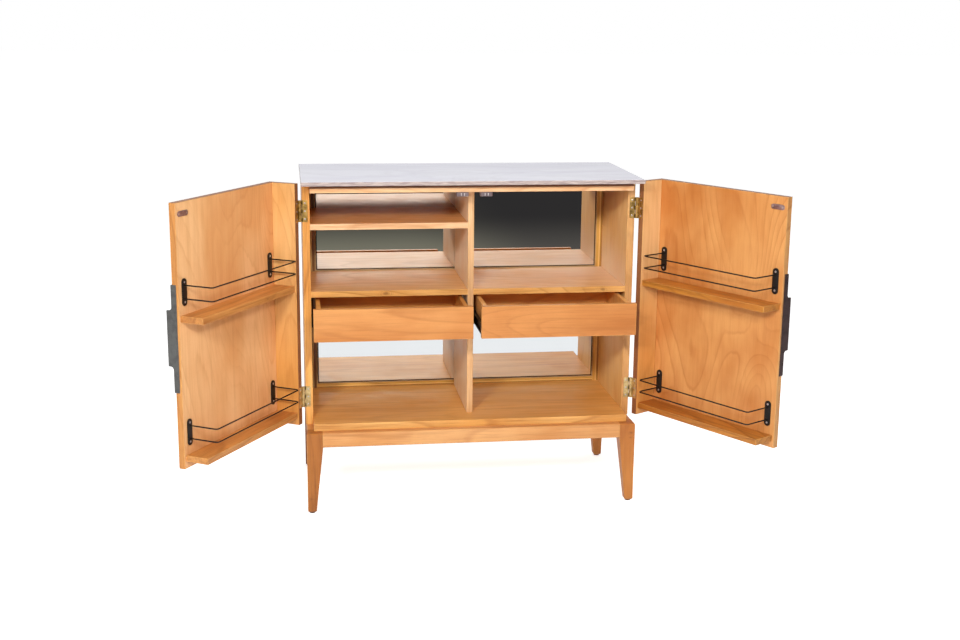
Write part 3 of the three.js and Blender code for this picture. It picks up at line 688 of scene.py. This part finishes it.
# Stone, mirror, metals and plastics
stoneNoise = {
    "cloud": ((3.0, 5.0, 5.0), 5.0, 0.55, 0.6),
    "vein": ((2.2, 4.5, 4.5), 6.0, 0.6, 1.4),
    "streak": ((26.0, 26.0, 260.0), 4.0, 0.6),
}
stone = {
    "fixed": {"Coat Weight": 0.3, "Coat Roughness": 0.06, "IOR": 1.52}, "cloudSpan": (0.3, 0.7),
    "speckNoise": (340.0, 3.0, 0.7), "speckSpan": (0.6, 0.75), "streakSpan": (0.35, 0.68), "veinMiddle": 0.5,
    "pale": (244, 243, 255), "cloud": (232, 230, 246), "vein": (172, 166, 172), "speck": (186, 176, 170),
    "rawPale": (182, 162, 148), "rawDark": (126, 98, 86), "veinShare": 0.1, "veinSharpness": 16.0,
    "speckShare": 0.12, "rawShare": 0.85, "rawReach": 0.0002, "roughness": 0.13, "speckGloss": 0.06,
    "rawRoughness": 0.25, "bump": (0.06, 0.0002),
}


# Stone: clouds, thin veins where a noise crosses its middle, and specks; its cut sides are raw and streaked
def stoneMaterial():
    material, tree, shader = newMaterial("stone", stone["fixed"])
    point = objectPoint(tree)
    cloud, vein, streak = noises(tree, point, stoneNoise).values()
    speck = noise(tree, point, *stone["speckNoise"])
    away = calc(tree, "ABSOLUTE", calc(tree, "SUBTRACT", vein, stone["veinMiddle"]))
    thin = calc(tree, "SUBTRACT", 1.0, times(tree, away, stone["veinSharpness"]), clamp=True)
    body = blend(tree, ramp(tree, cloud, *stone["cloudSpan"]), stone["pale"], stone["cloud"])
    body = blend(tree, times(tree, thin, stone["veinShare"]), body, stone["vein"])
    specks = times(tree, ramp(tree, speck, *stone["speckSpan"]), stone["speckShare"])
    body = blend(tree, specks, body, stone["speck"])
    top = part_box("stone_top")[1].z - stone["rawReach"]
    side = calc(tree, "LESS_THAN", separate(tree, point)[2], top)
    edgeTone = blend(tree, ramp(tree, streak, *stone["streakSpan"]), stone["rawPale"], stone["rawDark"])
    body = blend(tree, times(tree, side, stone["rawShare"]), body, edgeTone)
    rough = calc(tree, "MULTIPLY_ADD", speck, stone["speckGloss"], stone["roughness"])
    rough = calc(tree, "MULTIPLY_ADD", side, stone["rawRoughness"], rough)
    linkLook(tree, shader, body, rough, speck, *stone["bump"])
    return material


mirror = {
    "fixed": {"Metallic": 1.0},
    "silver": (234, 237, 239), "smudged": (206, 210, 210), "rim": (26, 17, 10), "shadeLineSpan": (0.0024, 0.0036),
    "shadeLineShare": 0.96, "smudgeShare": 0.05, "roughness": 0.004, "smudgeGloss": 0.012,
}


# Mirror: silvered glass, with painted shade along its rim: a dark line that stands for the shadow of the gap
# round the pane
def mirrorMaterial(name):
    material, tree, shader = newMaterial(name, mirror["fixed"])
    point = objectPoint(tree)
    smudge = useGroup(tree, handling, {"Point": point})["Smudge"]
    low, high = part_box(name)
    axes = separate(tree, point)
    fromLow = [calc(tree, "SUBTRACT", axes[k], low[k]) for k in (0, 2)]
    fromHigh = [calc(tree, "SUBTRACT", high[k], axes[k]) for k in (0, 2)]
    inX, inZ = (calc(tree, "MINIMUM", near, far) for near, far in zip(fromLow, fromHigh))
    # painted shade line along the rim
    rim = ramp(tree, calc(tree, "MINIMUM", inX, inZ), *mirror["shadeLineSpan"], 1.0, 0.0)
    share = times(tree, smudge, mirror["smudgeShare"])
    body = blend(tree, share, mirror["silver"], mirror["smudged"])
    body = blend(tree, times(tree, rim, mirror["shadeLineShare"]), body, mirror["rim"])
    rough = calc(tree, "MULTIPLY_ADD", smudge, mirror["smudgeGloss"], mirror["roughness"])
    linkLook(tree, shader, body, rough)
    return material


# Metals: the bright and the dull tone, then how metallic, how rough and how uneven in gloss
metals = {
    "brass": ((206, 168, 98), (128, 100, 52), 0.9, 0.34, 0.16),
    # painted highlight: a paler copy of the brass for the lower hinges
    "worn_brass": ((236, 208, 150), (182, 152, 100), 0.85, 0.34, 0.16),
    "black_steel": ((14, 10, 9), (8, 6, 5), 0.1, 0.46, 0.12),
    "pull_metal": ((112, 112, 110), (96, 95, 94), 0.75, 0.42, 0.1),
    # painted reflection: a darker copy of the pull metal for the right pull, standing for the dark room that
    # it reflects
    "pull_metal_dark": ((84, 66, 66), (70, 54, 54), 0.6, 0.44, 0.1),
    "strike_steel": ((186, 160, 160), (146, 112, 114), 0.85, 0.3, 0.12),
    "bright_steel": ((226, 220, 218), (178, 166, 168), 0.85, 0.26, 0.12),
}
# Where nothing has touched a metal, it is smoother by the clean share
polish = {
    "brush": ((900.0, 900.0, 30.0), 2.0, 0.5), "patch": (55.0, 4.0, 0.6), "patchSpan": (0.35, 0.7),
    "smudgeGloss": 0.08, "clean": 0.05, "bump": (0.08, 0.0002),
}


# Metal: a brushed streak and smudges change the gloss, and the tone goes dull in patches
def metalMaterial(name):
    bright, dull, metallic, roughness, spread = metals[name]
    material, tree, shader = newMaterial(name, {"Metallic": metallic})
    point = objectPoint(tree)
    smudge = useGroup(tree, handling, {"Point": point})["Smudge"]
    brush = noises(tree, point, {"brush": polish["brush"]})["brush"]
    patch = ramp(tree, noise(tree, point, *polish["patch"]), *polish["patchSpan"])
    body = blend(tree, patch, bright, dull)
    rough = calc(tree, "MULTIPLY_ADD", smudge, polish["smudgeGloss"], roughness - polish["clean"])
    rough = calc(tree, "MULTIPLY_ADD", brush, spread, rough)
    linkLook(tree, shader, body, rough, brush, *polish["bump"])
    return material


plastic = {
    "tone": (124, 108, 110), "shade": (96, 84, 88), "ior": 1.5, "roughness": 0.42, "gritGloss": 0.14,
    "bump": (0.12, 0.0003),
}


def plasticMaterial(name):
    material, tree, shader = newMaterial(name, {"IOR": plastic["ior"]})
    touched = useGroup(tree, handling, {"Point": objectPoint(tree)})
    body = blend(tree, touched["Smudge"], plastic["tone"], plastic["shade"])
    rough = calc(tree, "MULTIPLY_ADD", touched["Grit"], plastic["gritGloss"], plastic["roughness"])
    linkLook(tree, shader, body, rough, touched["Grit"], *plastic["bump"])
    return material


finishes = {name: metalMaterial(name) for name in metals}
finishes["catch_plastic"] = plasticMaterial("catch_plastic")
finishes["stone"] = stoneMaterial()
for name, slot in slotOf.items():
    if slot == "mirror":
        dress(name, mirrorMaterial(name))
    elif slot in finishes:
        # the right pull takes the darker copy, a painted reflection
        dress(name, finishes["pull_metal_dark" if name == "right_door_pull" else slot])
print("stage: stone, mirrors and metals")


# New pieces
hands = {"left": False, "right": True}
smoothAngle = math.radians(40)


# Shapes of the layout as one object of the frame, in its slot's finish unless it brings its own
def addPiece(name, shapes, body, slot, onDoor=False, onRight=False, material=None, stands=()):
    points, faces = gather(shapes)
    placed = toFrame(points, onDoor, onRight)
    if onRight:
        faces = [face[::-1] for face in faces]
    mesh = bpy.data.meshes.new(name)
    mesh.from_pydata(placed.tolist(), [], faces)
    mesh.shade_smooth()
    mesh.set_sharp_from_angle(angle=smoothAngle)
    mesh.materials.append(material or finishes[slot])
    mesh.validate()
    piece = bpy.data.objects.new(name, mesh)
    bpy.context.scene.collection.objects.link(piece)
    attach(piece, body)
    if stands:
        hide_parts(*stands)


# Hinges
hinge = {
    "height": 0.064, "reach": 0.022, "gap": 0.001, "thickness": 0.0015, "knuckle": 0.00475, "pin": 0.002,
    "count": 5, "seam": 0.0003, "corner": 0.0028, "ease": 0.0003, "screwX": 0.0145, "screwSpacing": 0.0235,
    "screwLift": 0.0002, "knuckleEase": 0.0004, "knuckleCorners": 40, "pinEase": 0.0005, "pinCorners": 24,
    "neckStart": 0.001, "neckOverlap": 0.0035, "neckCorner": 0.0006, "neckEase": 0.0002,
}


# A leaf, with its share of the knuckles: behind the pin's plane on the carcass, and before it on the door
def leafShapes(level, onDoor):
    px, py = layout["pinX"], layout["pinY"]
    side, first = (-1, 1) if onDoor else (1, 0)
    y0, y1 = sorted((py + side * hinge["gap"], py + side * (hinge["gap"] + hinge["thickness"])))
    bottom, pitch = level - hinge["height"] / 2, hinge["height"] / hinge["count"]
    top = bottom + hinge["height"]
    start = hinge["knuckle"] + hinge["seam"]
    collar = (hinge["knuckle"], hinge["knuckleEase"], hinge["knuckleCorners"])
    plate = (px + start, px + hinge["reach"], bottom, top)
    shapes = [plateShape(*plate, hinge["corner"], y0, y1, hinge["ease"])]
    for k in range(first, hinge["count"], 2):
        z0 = bottom + k * pitch + hinge["seam"] / 2
        z1 = z0 + pitch - hinge["seam"]
        shapes.append(rodShape(px, py, z0, z1, *collar))
        neck = (px + hinge["neckStart"], px + start + hinge["neckOverlap"], z0, z1)
        shapes.append(plateShape(*neck, hinge["neckCorner"], y0, y1, hinge["neckEase"]))
    if not onDoor:
        shapes.append(rodShape(px, py, bottom, top, hinge["pin"], hinge["pinEase"], hinge["pinCorners"]))
    return shapes


def leafScrews(level, onDoor):
    side = -1 if onDoor else 1
    x = layout["pinX"] + hinge["screwX"]
    y = layout["pinY"] + side * hinge["gap"] + side * hinge["screwLift"]
    return [screwShape((x, y, level + k * hinge["screwSpacing"]), -side) for k in (-1, 0, 1)]


hingeLevels = {
    "lower": layout["doorBottom"] + layout["hingeRise"],
    "upper": layout["doorTop"] - layout["hingeRise"],
}
for hand, onRight in hands.items():
    for end, level in hingeLevels.items():
        # the lower hinges take the paler brass copy, a painted highlight
        brass = finishes["worn_brass" if end == "lower" else "brass"]
        for onDoor in (False, True):
            node = f"{hand}_door_{end}_hinge_leaf" if onDoor else f"{hand}_{end}_carcass_hinge_leaf"
            body = f"{hand}_door" if onDoor else "cabinet"
            leaf, heads = leafShapes(level, onDoor), leafScrews(level, onDoor)
            addPiece(node + "_brass", leaf, body, "brass", onDoor, onRight, brass, [node])
            addPiece(node + "_screws", heads, body, "bright_steel", onDoor, onRight)
print("stage: hinges")


# An apron butts square against its legs: an eased cross-section carried straight from one leg to the other
apronEase = 0.0022


def apronShapes(low, high):
    along = int(np.argmax(high - low))
    across = 1 - along
    a0, a1, z0, z1 = low[across], high[across], low[2], high[2]
    b0, b1, y0, y1 = a0 + apronEase, a1 - apronEase, z0 + apronEase, z1 - apronEase
    section = [(b0, z0), (b1, z0), (a1, y0), (a1, y1), (b1, z1), (b0, z1), (a0, y1), (a0, y0)]
    ring = np.zeros((2, len(section), 3))
    ring[:, :, across], ring[:, :, 2] = np.array(section).T[:, None]
    ring[:, :, along] = np.array([low[along], high[along]])[:, None]
    return [ringShape(ring)]


for node in aprons:
    points = toLayout(nodePoints(node))
    shapes = apronShapes(points.min(axis=0), points.max(axis=0))
    grained = nodes[node].material_slots[0].material
    addPiece(node + "_planed", shapes, "cabinet", slotOf[node], material=grained, stands=[node])
print("stage: aprons")


# Wire rails on the door shelves
rail = {
    "plateWidth": 0.021, "plateHeight": 0.075, "plateThickness": 0.003, "lift": 0.024, "hingeInset": 0.023,
    "freeInset": 0.02, "standOff": 0.091, "wire": 0.002, "wireInset": 0.019, "bend": 0.008, "steps": 10,
    "straight": 0.004, "screwInset": 0.0102, "shelfThickness": 0.018, "ease": 0.0007, "seat": 0.0003,
    "cornerClearance": 0.0001, "screwSink": 0.0001,
}
shelfEnd = -layout["doorGap"] - layout["shelfInset"]
railEnds = (-layout["halfWidth"] + layout["doorFace"] + rail["hingeInset"], shelfEnd - rail["freeInset"])


# Straight runs and quarter bends between four corners, as one path
def railPath(z):
    x0, x1 = railEnds
    y0, y1 = layout["doorFace"] + rail["plateThickness"] / 2, layout["doorFace"] + rail["standOff"]
    r = rail["bend"]
    straightEnd = y1 - r - rail["straight"]
    turn = np.linspace(0, math.pi / 2, rail["steps"] + 1)
    first = np.stack([x0 + r - r * np.cos(turn), y1 - r + r * np.sin(turn)], axis=-1)
    second = np.stack([x1 - r + r * np.sin(turn), y1 - r + r * np.cos(turn)], axis=-1)
    out, back = [(x0, y0), (x0, straightEnd)], [(x1, straightEnd), (x1, y0)]
    flat = np.concatenate([out, first, [((x0 + x1) / 2, y1)], second, back])
    return np.column_stack([flat, np.full(len(flat), z)])


for hand, onRight in hands.items():
    for end in ("lower", "upper"):
        node = f"{hand}_door_{end}_rail"
        shelf = toLayout(nodePoints(f"{hand}_door_{end}_shelf"), True, onRight)
        z0 = shelf[:, 2].min() + rail["shelfThickness"] + rail["lift"]
        z1 = z0 + rail["plateHeight"]
        y0 = layout["doorFace"] + rail["seat"]
        y1 = y0 + rail["plateThickness"]
        half = rail["plateWidth"] / 2
        rim = (half - rail["cornerClearance"], y0, y1, rail["ease"], rail["steps"])
        shapes = [plateShape(x - half, x + half, z0, z1, *rim) for x in railEnds]
        wires = (z0 + rail["wireInset"], z1 - rail["wireInset"])
        shapes += [wireShape(railPath(z), rail["wire"]) for z in wires]
        addPiece(node + "_bent", shapes, f"{hand}_door", "black_steel", True, onRight, stands=[node])
        levels = (z0 + rail["screwInset"], z1 - rail["screwInset"])
        spots = [(x, y1 - rail["screwSink"], z) for x in railEnds for z in levels]
        heads = [screwShape(spot, 1, screw["railRadius"]) for spot in spots]
        addPiece(node + "_screws", heads, f"{hand}_door", "bright_steel", True, onRight)
print("stage: wire rails")


# Catches and their strike plates
catch = {
    "centre": -0.035, "width": 0.036, "height": 0.012, "depth": 0.028, "proud": 0.008, "corner": 0.005,
    "ease": 0.0012, "steps": 8, "seat": 0.0001, "pole": 0.0022, "poleSpacing": 0.0046, "poleReach": 0.0006,
    "poleDrop": 0.0022, "poleHeight": 0.0078, "poleSunk": 0.002, "poleCorner": 0.0004, "poleEase": 0.0002,
    "poleSteps": 3, "poleRim": 2,
}
strike = {
    "x": -0.035, "z": 0.955, "width": 0.048, "height": 0.015, "thickness": 0.0012, "corner": 0.0072,
    "ease": 0.0003, "seat": 0.0001, "spacing": 0.034,
}
catchFront = layout["topBoardFront"] - catch["proud"]


# The catch's rounded body hangs under the sub-top: a plate drawn in plan and stood from its foot to its top
def catchShapes():
    x0, x1 = catch["centre"] - catch["width"] / 2, catch["centre"] + catch["width"] / 2
    plan = (x0, x1, catchFront, catchFront + catch["depth"])
    z1 = layout["topBoardBottom"] - catch["seat"]
    rim = (catch["corner"], z1 - catch["height"], z1, catch["ease"], catch["steps"])
    points, faces = plateShape(*plan, *rim)
    return [(points[:, [0, 2, 1]], faces)]


def poleShapes():
    z1 = layout["topBoardBottom"] - catch["poleDrop"]
    z0 = z1 - catch["poleHeight"]
    y0, y1 = catchFront - catch["poleReach"], catchFront + catch["poleSunk"]
    rim = (catch["poleCorner"], y0, y1, catch["poleEase"], catch["poleSteps"], catch["poleRim"])
    starts = [catch["centre"] + k * catch["poleSpacing"] - catch["pole"] / 2 for k in (-1, 1)]
    return [plateShape(x, x + catch["pole"], z0, z1, *rim) for x in starts]


def strikeShapes():
    x0, z0 = strike["x"] - strike["width"] / 2, strike["z"] - strike["height"] / 2
    y0 = layout["doorFace"] + strike["seat"]
    rim = (strike["corner"], y0, y0 + strike["thickness"], strike["ease"])
    return [plateShape(x0, x0 + strike["width"], z0, z0 + strike["height"], *rim)]


def strikeScrews():
    y = layout["doorFace"] + strike["thickness"]
    spots = [(strike["x"] + k * strike["spacing"] / 2, y, strike["z"]) for k in (-1, 1)]
    return [screwShape(spot, 1, screw["strikeRadius"], screw["strikeDome"]) for spot in spots]


for hand, onRight in hands.items():
    node, door, plate = f"{hand}_magnetic_catch", f"{hand}_door", f"{hand}_strike_plate"
    steel = finishes["strike_steel"]
    addPiece(node + "_case", catchShapes(), "cabinet", "catch_plastic", onRight=onRight, stands=[node])
    addPiece(node + "_poles", poleShapes(), "cabinet", "bright_steel", onRight=onRight)
    addPiece(plate, strikeShapes(), door, "bright_steel", True, onRight, steel)
    addPiece(f"{hand}_strike_screws", strikeScrews(), door, "bright_steel", True, onRight)
print("stage: catches")


# Screws round the rim of the back panel
backScrews = {"inset": 0.014, "across": 6, "up": 4}
low, high = (np.array(corner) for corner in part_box("back_panel"))
xs = np.linspace(low[0] + backScrews["inset"], high[0] - backScrews["inset"], backScrews["across"])
zs = np.linspace(low[2] + backScrews["inset"], high[2] - backScrews["inset"], backScrews["up"])
y = high[1] - frameShift
spots = [(x, y, z) for x in xs for z in zs if x in (xs[0], xs[-1]) or z in (zs[0], zs[-1])]
heads = [screwShape(spot, 1, screw["backRadius"]) for spot in spots]
addPiece("back_panel_screws", heads, "cabinet", "bright_steel")
print("stage: back screws")


# Floor, light and camera
studio = {
    "floorTone": (250, 250, 250), "floorGlow": 0.73, "world": 0.29, "glossyWorld": 0.6,
    "aim": (0.0, 0.0, 0.55), "sheenTone": (1.0, 0.96, 0.85),
}
white = (1.0, 1.0, 1.0, 1.0)
# Size, place, power and sort: a glossy lamp gives sheen only, and a diffuse one lights the matt side only
lamps = {
    "sheen": ((1.9, 1.1), (-0.45, -3.8, 2.6), 76.0, "glossy"),
    "sideSheen": ((0.9, 1.1), (0.95, -3.8, 2.6), 18.0, "glossy"),
    "spot": ((0.4, 0.4), (0.1, -3.8, 2.35), 64.0, "diffuse"),
    "key": ((1.9, 1.1), (-0.3, -3.8, 2.6), 16.0, "diffuse"),
    "fill": ((0.45, 0.4), (-1.6, -3.6, 2.4), 80.0, "diffuse"),
    "top": ((2.6, 2.6), (0.0, 0.2, 3.6), 43.0, "diffuse"),
}


def glowing(tree, kind, strength, colour=white):
    return put(tree, kind, {"Color": colour, "Strength": strength}).outputs[0]


def either(tree, share, first, second):
    return put(tree, "MixShader", {0: share, 1: first, 2: second}).outputs[0]


def addLamp(name, size, place, power, sort):
    data = bpy.data.lights.new(name, "AREA")
    data.shape = "RECTANGLE"
    data.size, data.size_y = size
    data.energy = power
    lamp = bpy.data.objects.new(name, data)
    lamp.location = place
    aim = Vector(studio["aim"]) - Vector(place)
    lamp.rotation_euler = aim.to_track_quat("-Z", "Y").to_euler()
    lamp.visible_glossy = sort == "glossy"
    lamp.visible_diffuse = sort == "diffuse"
    if sort == "glossy":
        data.color = studio["sheenTone"]
    bpy.context.scene.collection.objects.link(lamp)


for name, settings in lamps.items():
    addLamp(name, *settings)


# One rectangle, lying or standing where it is told
def addSheet(name, corners, material):
    mesh = bpy.data.meshes.new(name)
    mesh.from_pydata(corners, [], [(0, 1, 2, 3)])
    mesh.materials.append(material)
    sheet = bpy.data.objects.new(name, mesh)
    bpy.context.scene.collection.objects.link(sheet)
    return sheet


# Matt floor that keeps the shadow, lifted to white for the camera, and plain white in a mirror
def floorMaterial():
    material, tree, surface = bareMaterial("floor")
    path = put(tree, "LightPath").outputs
    mirrored = calc(tree, "MAXIMUM", path["Is Glossy Ray"], path["Is Transmission Ray"])
    matt = put(tree, "BsdfDiffuse", {"Color": tint(*studio["floorTone"])}).outputs[0]
    lifted = put(tree, "AddShader", {0: matt, 1: glowing(tree, "Emission", studio["floorGlow"])}).outputs[0]
    seen = either(tree, path["Is Camera Ray"], matt, lifted)
    tree.links.new(either(tree, mirrored, seen, glowing(tree, "Emission", 1.0)), surface)
    return material


darkRoom = {
    "far": (-3.0, -5.2), "aside": (0.2, 1.1), "nearTone": (142, 138, 120), "farTone": (70, 68, 62),
    "nearAside": (94, 90, 84), "farAside": (50, 48, 48),
}


# Painted reflection: the dark part of the room before the cabinet, as glowing sheets that only its mirrors
# show
def darkMaterial():
    material, tree, surface = bareMaterial("dark room")
    x, y, z = separate(tree, objectPoint(tree))
    far = ramp(tree, y, *darkRoom["far"])
    ahead = blend(tree, far, darkRoom["nearTone"], darkRoom["farTone"])
    beside = blend(tree, far, darkRoom["nearAside"], darkRoom["farAside"])
    tone = blend(tree, ramp(tree, x, *darkRoom["aside"]), ahead, beside)
    tree.links.new(glowing(tree, "Emission", 1.0, tone), surface)
    return material


wide = 40.0
addSheet("floor", [(-wide, -wide, 0), (wide, -wide, 0), (wide, wide, 0), (-wide, wide, 0)], floorMaterial())
darkLook = darkMaterial()
# glowing sheets for the painted reflection of the room
darkSheets = {
    "dark_floor": [(-7, -12, 0.001), (7, -12, 0.001), (7, -2.7, 0.001), (-7, -2.7, 0.001)],
    "dark_wall": [(3.0, -3.5, 0.0), (3.0, 1.5, 0.0), (3.0, 1.5, 2.6), (3.0, -3.5, 2.6)],
}
for name, corners in darkSheets.items():
    sheet = addSheet(name, corners, darkLook)
    for ray in ("camera", "diffuse", "shadow", "transmission"):
        setattr(sheet, "visible_" + ray, False)

world = bpy.data.worlds.new("studio")
bpy.context.scene.world = world
world.use_nodes = True
tree = world.node_tree
tree.nodes.clear()
path = put(tree, "LightPath").outputs
levels = (studio["world"], studio["glossyWorld"], 1.0)
plain, mirrored, seen = (glowing(tree, "Background", level) for level in levels)
sky = either(tree, path["Is Camera Ray"], either(tree, path["Is Glossy Ray"], plain, mirrored), seen)
tree.links.new(sky, tree.nodes.new("ShaderNodeOutputWorld").inputs[0])

# The camera as fitted to the photo: angles in degrees, focal length in pixels
view = {
    "place": (-0.541714, -3.97333, 1.495249), "yaw": 8.126, "pitch": 12.969, "roll": 0.583,
    "focal": 1365.726, "width": 960, "sensor": 36.0, "clipEnd": 100.0,
}
yaw, pitch, roll = (math.radians(view[key]) for key in ("yaw", "pitch", "roll"))
turns = ((-yaw, "Z"), (math.pi / 2 - pitch, "X"), (roll, "Z"))
headed, tilted, rolled = (Matrix.Rotation(angle, 4, axis) for angle, axis in turns)
cameraData = bpy.data.cameras.new("camera")
cameraData.sensor_width = view["sensor"]
cameraData.lens = view["focal"] / view["width"] * view["sensor"]
cameraData.clip_end = view["clipEnd"]
camera = bpy.data.objects.new("camera", cameraData)
camera.matrix_world = Matrix.Translation(view["place"]) @ headed @ tilted @ rolled
bpy.context.scene.collection.objects.link(camera)
bpy.context.scene.camera = camera
bpy.context.scene.view_settings.view_transform = "Standard"
print("stage: floor, light and camera")
